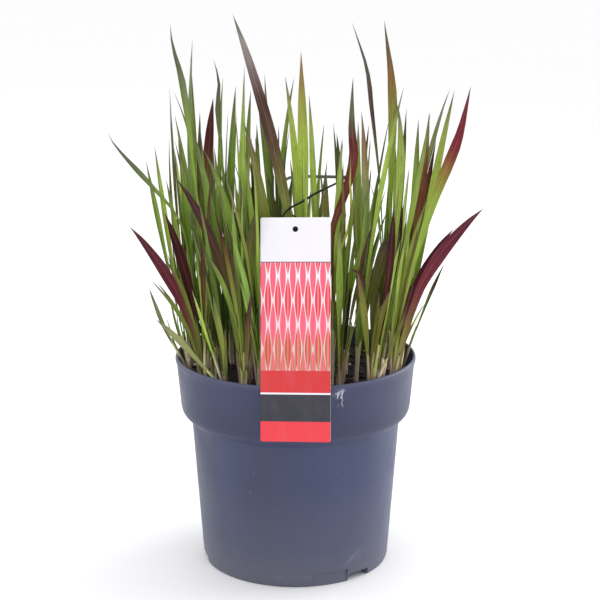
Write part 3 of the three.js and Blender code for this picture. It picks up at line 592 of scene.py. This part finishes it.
# ---- Shoots ----
# Each shoot is one grown piece: a short crown in the soil, a rolled papery sheath, and long blades
# with a folded channel, a midrib behind and fine veins, green at first and turning crimson.
# A blade's colours run from root to tip, each with its share of the length and its paint chip. All
# start tan.
TAN_START = (0, 184, 160, 144), (0.05, 176, 152, 126)
COLOURINGS = {
    "lime": ((0.13, 154, 160, 86), (0.3, 152, 172, 70), (0.7, 160, 186, 84), (0.87, 150, 166, 88),
        (0.94, 120, 122, 86), (1, 88, 86, 78)),
    "green": ((0.13, 132, 142, 70), (0.3, 116, 142, 56), (0.75, 128, 158, 66), (0.87, 124, 138, 76),
        (0.94, 106, 106, 80), (1, 84, 82, 74)),
    "fresh": ((0.13, 130, 146, 70), (0.35, 116, 146, 64), (0.75, 126, 158, 76),
        (0.88, 124, 144, 80), (0.95, 108, 112, 80), (1, 88, 86, 76)),
    "olive": ((0.13, 128, 136, 70), (0.35, 116, 130, 52), (0.7, 122, 130, 58), (0.86, 114, 108, 64),
        (0.95, 98, 92, 74), (1, 84, 80, 72)),
    "shade": ((0.13, 92, 98, 48), (0.35, 74, 92, 38), (0.75, 78, 96, 42), (0.92, 70, 76, 46),
        (1, 54, 52, 44)),
    "pale": ((0.13, 170, 170, 112), (0.5, 158, 164, 110), (0.8, 172, 176, 132),
        (0.93, 144, 142, 112), (1, 112, 108, 92)),
    "rust": ((0.13, 134, 136, 66), (0.45, 124, 132, 54), (0.58, 110, 92, 50), (0.68, 104, 58, 44),
        (0.8, 108, 66, 48), (0.88, 112, 106, 66), (0.95, 120, 118, 82), (1, 92, 90, 78)),
    "blush": ((0.13, 140, 152, 86), (0.5, 142, 160, 92), (0.7, 148, 158, 104), (0.82, 150, 124, 88),
        (0.93, 140, 98, 78), (1, 108, 82, 74)),
    "amber": ((0.13, 140, 158, 72), (0.4, 146, 174, 68), (0.7, 162, 186, 76), (0.82, 152, 158, 74),
        (0.9, 148, 128, 74), (1, 138, 102, 72)),
    "brown_top": ((0.13, 122, 142, 60), (0.35, 124, 152, 58), (0.6, 126, 150, 62),
        (0.74, 120, 122, 62), (0.84, 116, 82, 48), (0.93, 84, 68, 54), (1, 72, 70, 62)),
    "ember": ((0.13, 142, 154, 74), (0.42, 138, 168, 70), (0.62, 138, 166, 68),
        (0.69, 136, 134, 58), (0.76, 126, 76, 50), (0.81, 116, 40, 50), (0.95, 100, 30, 46),
        (1, 84, 46, 54)),
    "crimson": ((0.13, 124, 124, 64), (0.28, 112, 104, 58), (0.4, 104, 68, 52), (0.52, 98, 36, 48),
        (0.75, 86, 31, 49), (0.9, 79, 31, 47), (1, 90, 48, 60)),
    "maroon": ((0.13, 96, 90, 50), (0.32, 86, 70, 42), (0.5, 74, 34, 30), (0.8, 66, 24, 28),
        (1, 58, 28, 30)),
    "dark_tip": ((0.13, 134, 146, 72), (0.4, 122, 138, 62), (0.66, 112, 118, 58),
        (0.77, 90, 60, 40), (0.85, 70, 28, 28), (0.95, 62, 28, 28), (1, 64, 46, 40)),
    "bronze": ((0.13, 116, 120, 56), (0.4, 102, 106, 48), (0.6, 92, 76, 48), (0.76, 80, 50, 48),
        (0.93, 72, 42, 48), (1, 68, 44, 48)),
    "grey_top": ((0.13, 124, 134, 60), (0.44, 122, 132, 58), (0.56, 98, 92, 50), (0.65, 76, 52, 42),
        (0.77, 68, 38, 40), (0.83, 108, 88, 92), (0.92, 140, 128, 134), (0.97, 98, 100, 98),
        (1, 88, 90, 86)),
    "wine_middle": ((0.13, 118, 128, 56), (0.38, 112, 120, 52), (0.46, 124, 98, 52),
        (0.54, 140, 82, 54), (0.69, 138, 66, 52), (0.8, 116, 50, 50), (0.85, 110, 100, 76),
        (0.9, 122, 136, 100), (0.97, 104, 112, 92), (1, 84, 88, 76)),
    "slate": ((0.13, 124, 134, 64), (0.4, 120, 146, 60), (0.68, 130, 152, 66), (0.8, 104, 114, 72),
        (0.91, 86, 90, 78), (1, 78, 82, 78)),
    "plum_middle": ((0.13, 128, 144, 66), (0.5, 130, 154, 72), (0.64, 118, 118, 74),
        (0.72, 104, 58, 74), (0.8, 98, 68, 78), (0.88, 96, 92, 88), (1, 84, 88, 82)),
    "silver": ((0.13, 122, 134, 70), (0.5, 120, 134, 70), (0.8, 126, 136, 90),
        (0.93, 134, 136, 118), (1, 108, 108, 98)),
}
# The blades that stand out, by their shoot's number: the tip's place across and up, met within
# this reach, and the colouring.
TIP_REACH = 9
STANDING_OUT = {
    "green": {
        1: [(-45, 438, "grey_top")], 2: [(4, 410, "amber")],
        3: [(66, 430, "brown_top"), (42, 428, "plum_middle")],
        4: [(-91, 429, "slate"), (-76, 418, "silver")],
        5: [(-140, 348, "slate"), (-89, 342, "green")], 6: [(74, 373, "lime"), (99, 365, "lime")],
        7: [(118, 380, "lime")], 8: [(94, 354, "green"), (115, 245, "dark_tip")],
        9: [(119, 376, "silver"), (86, 360, "shade")], 10: [(49, 364, "blush"), (80, 383, "lime")],
        11: [(31, 346, "shade")], 12: [(23, 320, "olive")], 13: [(10, 376, "lime")],
        14: [(-8, 388, "lime")], 15: [(-31, 395, "slate"), (-1, 385, "green")],
        16: [(-38, 397, "lime")], 17: [(-34, 377, "lime")], 18: [(-38, 360, "olive")],
        19: [(-28, 299, "olive")], 20: [(-68, 339, "green"), (-75, 355, "green")],
        21: [(-104, 213, "pale"), (-77, 238, "lime")], 22: [(-61, 402, "slate")],
        23: [(-80, 400, "green"), (-73, 359, "olive")],
        24: [(-108, 334, "lime"), (-113, 326, "lime"), (-114, 224, "pale")],
        25: [(-97, 371, "green"), (-95, 353, "green")],
        26: [(-46, 378, "green"), (-56, 384, "lime")],
        27: [(-30, 349, "green"), (-35, 339, "bronze")], 28: [(-24, 386, "silver")],
        29: [(29, 349, "olive")],
    },
    "red": {
        1: [(127, 386, "ember"), (138, 296, "crimson"), (118, 279, "crimson")],
        2: [(42, 391, "wine_middle"), (57, 283, "bronze"), (40, 250, "dark_tip")],
        3: [(-123, 282, "crimson"), (-98, 290, "maroon")],
        4: [(100, 363, "rust"), (121, 276, "crimson")], 5: [(108, 339, "dark_tip")],
        6: [(72, 299, "maroon"), (87, 241, "dark_tip")],
        7: [(82, 292, "dark_tip"), (70, 267, "olive")], 8: [(-88, 319, "bronze")],
        9: [(-62, 372, "dark_tip")], 10: [(-98, 376, "silver"), (-98, 339, "olive")],
    },
}
# The colourings of all other blades, each as many times as it is likely.
USUAL = {
    "green": ["lime"] * 4 + ["green"] * 3 + ["fresh"] + ["olive"] * 2 + ["shade"] * 2,
    "red": ["olive"] * 2 + ["green"] * 3 + ["lime"] * 2 + ["dark_tip", "bronze"],
}
# A blade is made round: seven lines on its channel side and five on its back, 0 at its midrib.
LINES = (-1, -0.62, -0.2, 0, 0.2, 0.62, 1, 0.62, 0.2, 0, -0.2, -0.62)
ROWS = {"blade": 26, "side_leaf": 15}
BLADE = {"fold": (0.75, 1.35), "sway": (0.2, 0.9), "roll": (3, 13), "rolls": (0.6, 1.6),
         "brightness": (0.62, 1.32), "hue": 0.06, "midrib": 0.25}
# A pointed blade narrows evenly at the most over this share of its length.
TIP_SHARE = 0.2
# What a millimetre of width counts beside a whole length, where the widths are smoothed.
WIDTH_SCALE = 0.06
# Blades that root in the clump's heart or thicket are darkened near the soil with painted shade, as
# the clump shades itself there. The painted shade fades out round both, and up the blades from its
# foot.
HEART = {"middle": (0, 0), "radius": 45}
THICKET = {"middle": (-38, -2), "radius": 32}
PAINTED_SHADE = {"fade": 30, "foot": 165, "height": 90, "in_thicket": 70}
CROWN = {"root": 151, "offset": 1.2, "middle": 148.5, "height": 17, "radius": (3.3, 1.5),
         "sides": 14, "rough": 0.12}
SHEATH = {"rows": 9, "sides": 10, "radius": (1.3, 0.95), "height": (14, 52), "longest": 0.42,
          "slant": 2.4, "depth": 3}
SHEATH_TINTS = [
    ((216, 198, 190), (170, 166, 118)), ((220, 206, 192), (176, 180, 108)),
    ((200, 172, 164), (150, 132, 104)), ((186, 158, 152), (152, 152, 98)),
]
# Smaller leaves beside the long ones, fewer past a place on the right: how many to a blade, their
# size and width as shares, and how far round they stand.
SIDE_LEAF = {"count": 2.4, "size": (0.3, 0.95), "girth": (0.3, 0.6), "lean": (0.5, 1.1), "turn": 30,
             "thin_past": 25, "thinned": 0.5}


def clamped(value):
    """The value, kept between 0 and 1."""
    return min(max(value, 0), 1)


def shade_of(*chip):
    """A paint chip's light, as a vector that can be mixed."""
    return Vector(paint(*chip)[:3])


def blades_of(node):
    """The middle of a node's crown, and its blades, read from its solid: each blade's sections from
    root to tip, and its tip. A section is its middle, its edge's offset and its front's way."""
    solid = bmesh.new()
    solid.from_mesh(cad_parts[node].data)
    bmesh.ops.remove_doubles(solid, verts=solid.verts, dist=2e-5)
    lowest = min(v.co.z for v in solid.verts)
    feet = [v.co for v in solid.verts if v.co.z < lowest + 0.2 * MM]
    foot = sum(feet, Vector()) / len(feet)
    blades = []
    for tip in solid.verts:
        # A tip stands over a ring of three corners that are all joined to each other.
        ring = [e.other_vert(tip) for e in tip.link_edges]
        joined = sum(e.other_vert(v) in ring for v in ring for e in v.link_edges)
        if len(ring) != 3 or joined != 6:
            continue
        rings, seen = [], {tip, *ring}
        while len(ring) == 3:
            rings.append([v.co.copy() for v in ring])
            below = {e.other_vert(v) for v in ring for e in v.link_edges} - seen
            seen |= below
            ring = list(below)
        if len(rings) < 3 and max(p.z for p in rings[0]) >= tip.co.z:
            continue
        pairs = [itertools.combinations(enumerate(r), 2) for r in rings]
        sides = [max(((a - b).length, i, j) for (i, a), (j, b) in p) for p in pairs]
        widest = max(range(len(rings)), key=lambda k: sides[k][0])
        _, i, j = sides[widest]
        order = [rings[widest][i], rings[widest][j], rings[widest][3 - i - j]]
        ordered = {widest: order}
        # The corners of the other rings take the order that turns them least from ring to ring.
        for k in [*range(widest - 1, -1, -1), *range(widest + 1, len(rings))]:
            near = ordered[k + 1 if k < widest else k - 1]
            shift = (sum(near, Vector()) - sum(rings[k], Vector())) / 3
            ordered[k] = min(
                itertools.permutations(rings[k]),
                key=lambda p: sum((a + shift - b).length_squared for a, b in zip(p, near)))
        sections = [(sum(r, Vector()) / 3, (r[0] - r[1]) / 2, (r[0] + r[1]) / 2 - r[2])
                    for r in (ordered[k] for k in range(len(rings) - 1, -1, -1))]
        blades.append((sections, tip.co.copy()))
    solid.free()
    return foot, blades


def planted(node):
    """What a plant grows from: its luck, its node's crown and blades, a new mesh and its layers."""
    plant = bmesh.new()
    layers = plant.verts.layers.float_color.new("tint"), plant.verts.layers.float_vector.new("leaf")
    return random.Random(node), *blades_of(node), plant, layers


def line_of(foot, sections, tip):
    """A blade's line from its crown: its points, its edges' offsets and its front's directions."""
    lean = sections[0][0] - foot
    outward = Vector((lean.x, lean.y, 0)).normalized()
    root = Vector((foot.x, foot.y, CROWN["root"] * MM)) + outward * CROWN["offset"] * MM
    points = [root] + [s[0] for s in sections] + [tip]
    acrosses = [sections[0][1] * 0.6] + [s[1] for s in sections] + [sections[-1][1] * 0.02]
    outs = [sections[0][2]] + [s[2] for s in sections] + [sections[-1][2] * 0.5]
    return points, acrosses, outs


def side_leaf(line, luck):
    """A shorter, narrower line from the same crown, turned round it."""
    points, acrosses, outs = line
    size, girth, lean = (luck.uniform(*SIDE_LEAF[key]) for key in ("size", "girth", "lean"))
    turn = Matrix.Rotation(math.radians(luck.uniform(-1, 1) * SIDE_LEAF["turn"]), 3, "Z")
    reshaped = turn @ Matrix.Diagonal((size * lean, size * lean, size))
    points = [points[0] + reshaped @ (p - points[0]) for p in points]
    return points, [turn @ a * girth for a in acrosses], [turn @ o for o in outs]


def has_room(line):
    """Whether a line stays inside the pot's lip and behind the tag."""
    for point in line[0]:
        from_tag = point / MM - tag_foot
        at_tag = abs(from_tag.dot(tag_right)) < 31 and from_tag.dot(tag_out) > -5
        at_lip = point.z < 172 * MM and point.xy.length > 88 * MM
        if at_tag or at_lip:
            return False
    return True


def shares_of(points):
    """Each point's share of the line's length, and that length."""
    lengths = [0.0]
    for a, b in zip(points, points[1:]):
        lengths.append(lengths[-1] + (b - a).length)
    return [length / lengths[-1] for length in lengths], lengths[-1]


def grow_blade(shoot, layers, line, row_count, colouring, luck):
    """One blade along its line: a closed, folded leaf that is thick at its midrib. The lower parts
    of the clump's inner blades are darkened with painted shade."""
    tint, leaf = layers
    points, acrosses, outs = line
    shares, length = shares_of(points)
    widths = [Vector((s, a.length / MM * WIDTH_SCALE, 0)) for s, a in zip(shares, acrosses)]
    fold = luck.uniform(*BLADE["fold"])
    sway, phase = luck.uniform(*BLADE["sway"]) * MM, luck.uniform(0, 6.3)
    roll_size, rolls = math.radians(luck.uniform(*BLADE["roll"])), luck.uniform(*BLADE["rolls"])
    streaks_from = luck.uniform(0, 50)
    widest = max(a.length for a in acrosses)
    tip_rises = (points[-1] - points[-2]).normalized().z > 0.6
    is_pointed = tip_rises and acrosses[-2].length < 0.6 * widest
    stops = TAN_START + COLOURINGS[colouring]
    stop_shares, stop_shades = [s[0] for s in stops], [shade_of(*s[1:]) for s in stops]
    rows = []
    for r in range(row_count + 1):
        share = r / row_count
        place = along(shares, range(len(points)), share)
        point, ahead = smooth_at(points, place), ahead_at(points, place)
        half = max(smooth_at(widths, place).y / WIDTH_SCALE, 0) * MM
        if is_pointed:
            half = min(half, widest * (1 - share) / TIP_SHARE)
        across = along(shares, [a.normalized() for a in acrosses], share)
        across = (across - ahead * across.dot(ahead)).normalized()
        free = math.sin(math.pi * share)
        roll = roll_size * math.sin(phase + share * 6.3 * rolls) * free
        across = Matrix.Rotation(roll, 3, ahead) @ across
        out = across.cross(ahead)
        if out.dot(along(shares, outs, share)) < 0:
            out = -out
        swung = across * math.sin(phase + 9 * share) * 0.4 + out * math.sin(2 * phase + 7 * share)
        point = point + swung * sway * free
        keel = along(shares, [o.length for o in outs], share)
        shade = along(stop_shares, stop_shades, share)
        rows.append((point, across, out, half, keel, shade, share * length / MM + streaks_from))
    brightness = luck.uniform(*BLADE["brightness"])
    inner, dense = (
        1 - clamped(((points[0].xy / MM - Vector(p["middle"])).length - p["radius"]) / PAINTED_SHADE["fade"])
        for p in (HEART, THICKET))
    shade_height = (PAINTED_SHADE["height"] + PAINTED_SHADE["in_thicket"] * dense) * MM
    hue = luck.uniform(-BLADE["hue"], BLADE["hue"])
    columns = len(LINES)
    for vert, _, share in rolled(shoot, columns, row_count):
        column, r = round((vert.co.x + 1) / 2 * columns) % columns, round(share * row_count)
        point, across, out, half, keel, shade, run = rows[r]
        s = LINES[column]
        front = keel * fold * (0.62 * abs(s) ** 1.5 - 0.32) * min(1, half / (1.5 * MM))
        if column > columns / 2:
            thick = (0.1 + 0.22 * (1 - abs(s))) * MM
            front -= thick + (BLADE["midrib"] * MM if s == 0 else 0)
        vert.co = point if r in (0, row_count) else point + across * s * half + out * front
        # Painted shade: darker near the soil for blades rooted in the heart or thicket.
        painted_shade = (1 - clamped((point.z - PAINTED_SHADE["foot"] * MM) / shade_height)) * max(inner, dense)
        colour = shade * brightness * (1 - (0.6 + 0.2 * dense) * painted_shade)
        vert[tint] = (max(colour.x * (1 + hue), 0), colour.y, max(colour.z * (1 - hue), 0), 1)
        vert[leaf] = (s * half / MM, run, s)


def grow_sheath(shoot, layers, line, luck):
    """The rolled, papery sheath round a blade's foot: a slim tube with a slanting mouth."""
    tint, leaf = layers
    points = line[0]
    shares, length = shares_of(points)
    reach = min(luck.uniform(*SHEATH["height"]) * MM / length, SHEATH["longest"])
    low, high = (shade_of(*chip) for chip in luck.choice(SHEATH_TINTS))
    girth, slant, tone = luck.uniform(0.8, 1.15), luck.uniform(0, 6.3), luck.uniform(0.8, 1.15)
    first_radius, last_radius = SHEATH["radius"]
    for vert, angle, t in rolled(shoot, SHEATH["sides"], SHEATH["rows"]):
        inner = t > 0.95
        radius = (first_radius + (last_radius - first_radius) * t) * girth
        radius *= 0.5 if inner else 1 + 0.07 * math.cos(5 * angle + slant)
        rise = (min(t, 0.9) / 0.9 * reach
                + math.cos(angle + slant) * t * SHEATH["slant"] * MM / length)
        rise = max(rise - (SHEATH["depth"] * MM / length if inner else 0), 0)
        place = along(shares, range(len(points)), rise)
        ahead = ahead_at(points, place)
        side = ahead.cross(Vector((0, 1, 0))).normalized()
        around = side * math.cos(angle) + side.cross(ahead) * math.sin(angle)
        vert.co = smooth_at(points, place) + around * radius * MM
        shade = low.lerp(high, min(1, t * 1.2) ** 1.6) * tone
        # Painted shade: the inside of the sheath's mouth is darkened.
        vert[tint] = (*(shade * (0.35 if inner else 1)), 1)
        vert[leaf] = (angle * 1.2, rise * length / MM, 0.5)


def grow_crown(shoot, layers, foot, luck):
    """The knobbly base of a shoot, mostly under the soil."""
    tint, leaf = layers
    middle = Vector((foot.x, foot.y, CROWN["middle"] * MM))
    lower, upper = (radius * MM for radius in CROWN["radius"])
    made = bmesh.ops.create_cone(
        shoot, cap_ends=True, segments=CROWN["sides"], radius1=lower, radius2=upper,
        depth=CROWN["height"] * MM, matrix=Matrix.Translation(middle))["verts"]
    for vert in made:
        away = vert.co - middle
        bump = 1 + luck.uniform(-CROWN["rough"], CROWN["rough"])
        vert.co = middle + Vector((away.x * bump, away.y * bump, away.z))
        vert[tint] = (*(shade_of(132, 104, 88) * luck.uniform(0.6, 1.1)), 1)
        vert[leaf] = (away.x / MM, away.z / MM, 0.5)


def leaf_finish(name, roughness, shine, vein_light, spot):
    """A living blade: its colours, fine veins, a paler midrib, streaks, spots and a soft sheen."""
    finish, tree, shader = new_finish(name, roughness)
    colours = step(tree, "Attribute", {}, attribute_name="tint").outputs["Color"]
    leaf = step(tree, "Attribute", {}, attribute_name="leaf").outputs["Vector"]
    side, run, _ = step(tree, "SeparateXYZ", {0: leaf}).outputs
    slow, slower = maths(tree, "MULTIPLY", run, 0.04), maths(tree, "MULTIPLY", run, 0.004)
    drawn_out = step(tree, "CombineXYZ", {0: side, 1: slow, 2: slower}).outputs[0]
    streaks = speckle(tree, drawn_out, 1.6, 4, 0.6)
    veins = maths(tree, "PINGPONG", maths(tree, "MULTIPLY", side, 1.9), 0.5)
    lines = graded(tree, veins, (0, 0), (0.5, 1))
    colour = mixed(tree, maths(tree, "MULTIPLY", lines, 0.34), colours, vein_light, "SOFT_LIGHT")
    dark = graded(tree, streaks, (0.32, 0.55), (0.6, 0))
    colour = mixed(tree, dark, colour, (0.36, 0.36, 0.3, 1), "MULTIPLY")
    light = graded(tree, streaks, (0.55, 0), (0.8, 0.12))
    colour = mixed(tree, light, colour, vein_light, "SCREEN")
    rib = graded(tree, maths(tree, "ABSOLUTE", side), (0.08, 0.12), (0.26, 0))
    colour = mixed(tree, rib, colour, vein_light, "SCREEN")
    blotches = graded(tree, speckle(tree, leaf, 0.22, 3), (0.66, 0), (0.74, 0.55))
    colour = mixed(tree, blotches, colour, spot)
    dullness = graded(tree, streaks, (0.3, roughness - 0.08), (0.7, roughness + 0.1))
    feed(shader, {"Base Color": colour, "Specular IOR Level": shine, "Roughness": dullness})
    relief(tree, shader, maths(tree, "ADD", lines, streaks), 0.35, 0.00025)
    return finish


green_blade = leaf_finish("green_blade", 0.44, 0.2, paint(214, 232, 150), paint(122, 88, 52))
red_blade = leaf_finish("red_blade", 0.42, 0.12, paint(226, 170, 150), paint(70, 24, 36))

for node in sorted(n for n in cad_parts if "_shoot_" in n):
    kind, number = node.split("_shoot_")
    luck, foot, blades, shoot, layers = planted(node)
    for sections, tip in blades:
        colouring = luck.choice(USUAL[kind])
        for x, z, own in STANDING_OUT[kind].get(int(number), ()):
            if abs(tip.x / MM - x) + abs(tip.z / MM - z) < TIP_REACH:
                colouring = own
        line = line_of(foot, sections, tip)
        grow_blade(shoot, layers, line, ROWS["blade"], colouring, luck)
        grow_sheath(shoot, layers, line, luck)
    thinned = SIDE_LEAF["thinned"] if foot.x > SIDE_LEAF["thin_past"] * MM else 1
    for _ in range(round(SIDE_LEAF["count"] * thinned * len(blades))):
        line = side_leaf(line_of(foot, *luck.choice(blades)), luck)
        if has_room(line):
            grow_blade(shoot, layers, line, ROWS["side_leaf"], luck.choice(USUAL[kind]), luck)
    grow_crown(shoot, layers, foot, luck)
    bmesh.ops.remove_doubles(shoot, verts=shoot.verts, dist=1e-6)
    bmesh.ops.holes_fill(shoot, edges=[e for e in shoot.edges if e.is_boundary], sides=0)
    bmesh.ops.recalc_face_normals(shoot, faces=shoot.faces)
    leaf = layers[1]
    # A blade's two edges stay crisp.
    for edge in shoot.edges:
        edge.smooth = not all(abs(v[leaf].z) > 0.99 for v in edge.verts)
    piece = as_piece(node + "_leaves", shoot, green_blade if kind == "green" else red_blade)
    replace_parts(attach(piece, "root"), node)

# ---- Old stubs ----
# Dry, hollow stubs of last year's cut stems, in tufts at the soil, each cut on a slant. A stub's
# mesh goes up its outer wall to this share, over its rim, and from the last share down inside.
STUB = {"sides": 14, "rows": 10, "radius": 1.25, "slant": 1.1, "bore": 0.66, "depth": 2.5,
        "root": 151.5}
STUB_WALL, STUB_RIM, STUB_INSIDE = 0.7, 0.75, 0.85


def grow_stub(tuft, layers, root, top, luck):
    """One cut stem: a tube with a slanting, hollow end and a node ring part way up."""
    tint, leaf = layers
    ahead = (top - root).normalized()
    side = ahead.cross(Vector((0, 1, 0))).normalized()
    front = side.cross(ahead)
    radius = STUB["radius"] * luck.uniform(0.8, 1.15)
    slant, tone, joint = luck.uniform(0, 6.3), luck.uniform(0.75, 1.15), luck.uniform(0.35, 0.6)
    for vert, angle, t in rolled(tuft, STUB["sides"], STUB["rows"]):
        up = min(t / STUB_WALL, 1)
        rise = up * (top - root).length + math.cos(angle + slant) * STUB["slant"] * MM * up
        rise -= STUB["depth"] * MM if t > STUB_INSIDE else 0
        ring = 1 + 0.16 * math.exp(-((t / STUB_WALL - joint) / 0.08) ** 2)
        around = radius * (STUB["bore"] if t > STUB_RIM else ring)
        around *= 0 if t in (0, 1) else 1 + 0.05 * math.cos(3 * angle + slant)
        outward = side * math.cos(angle) + front * math.sin(angle)
        vert.co = root + ahead * rise + outward * around * MM
        shade = shade_of(164, 136, 118).lerp(shade_of(214, 194, 176), min(1, t * 1.5))
        # Painted shade: the inside of the hollow cut end is darkened.
        vert[tint] = (*(shade * tone * (0.3 if t > STUB_INSIDE else 1)), 1)
        vert[leaf] = (math.sin(angle) * 2, rise / MM, 0)


dry_straw, tree, shader = new_finish("dry_straw", 0.72)
colours = step(tree, "Attribute", {}, attribute_name="tint").outputs["Color"]
leaf = step(tree, "Attribute", {}, attribute_name="leaf").outputs["Vector"]
fibres = speckle(tree, leaf, 3.0, 4, 0.6, (1, 0.12, 1))
dark = graded(tree, fibres, (0.35, 0.6), (0.62, 0))
colour = mixed(tree, dark, colours, (0.42, 0.3, 0.24, 1), "MULTIPLY")
feed(shader, {"Base Color": colour, "Specular IOR Level": 0.3})
relief(tree, shader, fibres, 0.4, 0.0003)

for node in sorted(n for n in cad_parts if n.startswith("dry_stubs")):
    luck, foot, stems, tuft, layers = planted(node)
    for sections, tip in stems:
        grow_stub(tuft, layers, Vector((foot.x, foot.y, STUB["root"] * MM)), tip, luck)
    grow_crown(tuft, layers, foot, luck)
    bmesh.ops.remove_doubles(tuft, verts=tuft.verts, dist=1e-6)
    bmesh.ops.recalc_face_normals(tuft, faces=tuft.faces)
    piece = as_piece(node + "_stems", tuft, dry_straw)
    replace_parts(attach(piece, "root"), node)

# ---- Floor and light ----
# A plain white studio floor, wide enough to fill the view, with large soft lamps round the plant.
ground_mesh = bmesh.new()
bmesh.ops.create_grid(ground_mesh, x_segments=4, y_segments=4, size=14)
floor_paint, tree, shader = new_finish("floor_paint", 0.8)
place = spot_on(tree)
colour = mixed(tree, speckle(tree, place, 2), paint(252, 252, 253), paint(254, 254, 255))
feed(shader, {"Base Color": colour})
studio_floor = as_piece("studio_floor", ground_mesh, floor_paint)

# Each lamp's name, its place and width in metres, and its power in watts. All face the clump.
LAMPS = [
    ("key", (-0.9, -1.5, 1.2), 1.4, 3),
    ("left", (-1.5, 0.5, 0.6), 1.4, 4),
    ("right", (1.4, 0.6, 0.55), 1.4, 18),
    ("above", (0.1, 0.5, 1.9), 1.6, 4),
]
clump_middle = Vector((0, 0, 0.22))
for name, where, size, watts in LAMPS:
    lamp = bpy.data.lights.new(name, "AREA")
    lamp.size = size
    lamp.energy = watts
    holder = bpy.data.objects.new(name, lamp)
    holder.location = where
    holder.rotation_euler = (clump_middle - Vector(where)).to_track_quat("-Z", "Y").to_euler()
    bpy.context.collection.objects.link(holder)
surround = bpy.data.worlds.new("surround")
surround.use_nodes = True
surround.node_tree.nodes["Background"].inputs[0].default_value = (1, 1, 1, 1)
surround.node_tree.nodes["Background"].inputs[1].default_value = 1.0
bpy.context.scene.world = surround
bpy.context.scene.view_settings.view_transform = "Standard"
